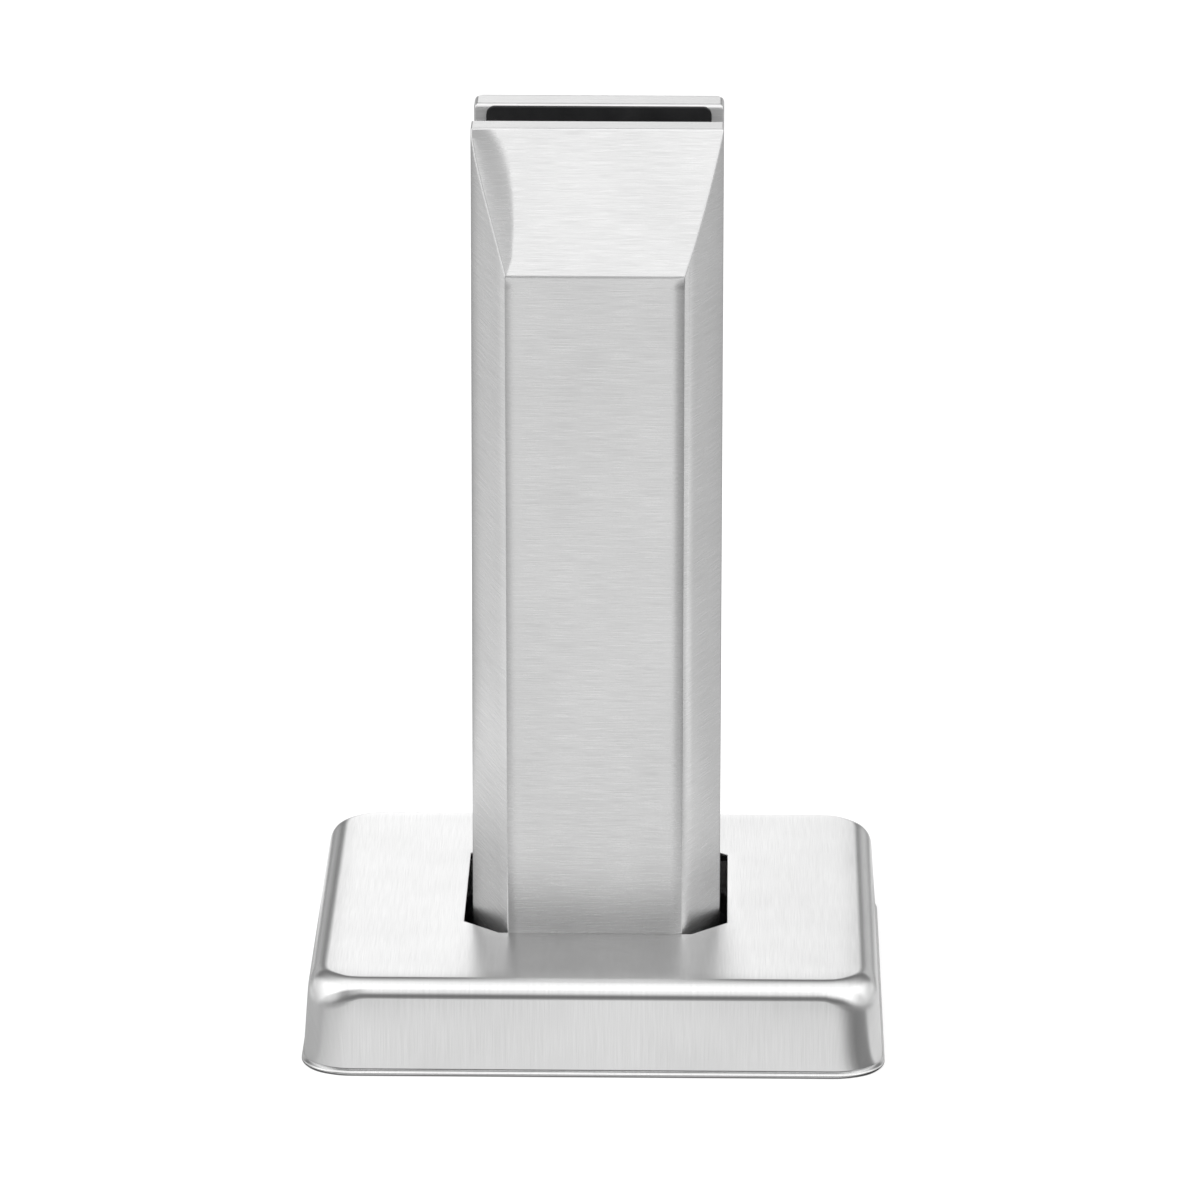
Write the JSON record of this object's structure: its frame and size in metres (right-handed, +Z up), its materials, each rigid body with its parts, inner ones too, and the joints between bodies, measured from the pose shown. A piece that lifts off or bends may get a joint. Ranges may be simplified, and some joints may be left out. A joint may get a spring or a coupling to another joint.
{
  "type": "glass panel clamp",
  "caption": "Deck-mounted friction clamp for frameless glass: slotted faceted column, rubber pads, screw-driven pressure plate and square dress cover.",
  "frame": {"origin": "middle of the square base, on the deck it stands on", "axes": "+Z up along the column, +X along the glass slot; the plain outer face looks along -Y and the screws are on the +Y side"},
  "size_m": [0.116, 0.116, 0.1815],
  "materials": {
    "brushed_casting": "satin brushed, fine grain across the faces",
    "brushed_sheet": "satin brushed sheet, grain front to back",
    "plain_steel": "machined",
    "rubber": "matt black"
  },
  "bodies": {
    "spigot": {"spigot_body": "brushed_casting", "dress_cover": "brushed_sheet", "front_pad": "rubber", "setting_block": "rubber"},
    "clamp": {"pressure_plate": "plain_steel", "rear_pad": "rubber"},
    "upper_screw": {"upper_grub_screw": "plain_steel"},
    "lower_screw": {"lower_grub_screw": "plain_steel"}
  },
  "joints": [
    {"name": "clamp_slide", "type": "slide", "parent": "spigot", "child": "clamp", "axis": [0, -1, 0], "range_m": [0, 0.003]},
    {"name": "upper_screw_turn", "type": "hinge", "parent": "clamp", "child": "upper_screw", "pos_m": [0, 0.0216, 0.144], "axis": [0, -1, 0], "range_deg": [0, 720]},
    {"name": "lower_screw_turn", "type": "hinge", "parent": "clamp", "child": "lower_screw", "pos_m": [0, 0.0216, 0.111], "axis": [0, -1, 0], "range_deg": [0, 720]}
  ],
  "couplings": [
    {"joint": "upper_screw_turn", "follows": "clamp_slide", "rad_per_m": 4188.8},
    {"joint": "lower_screw_turn", "follows": "clamp_slide", "rad_per_m": 4188.8}
  ]
}
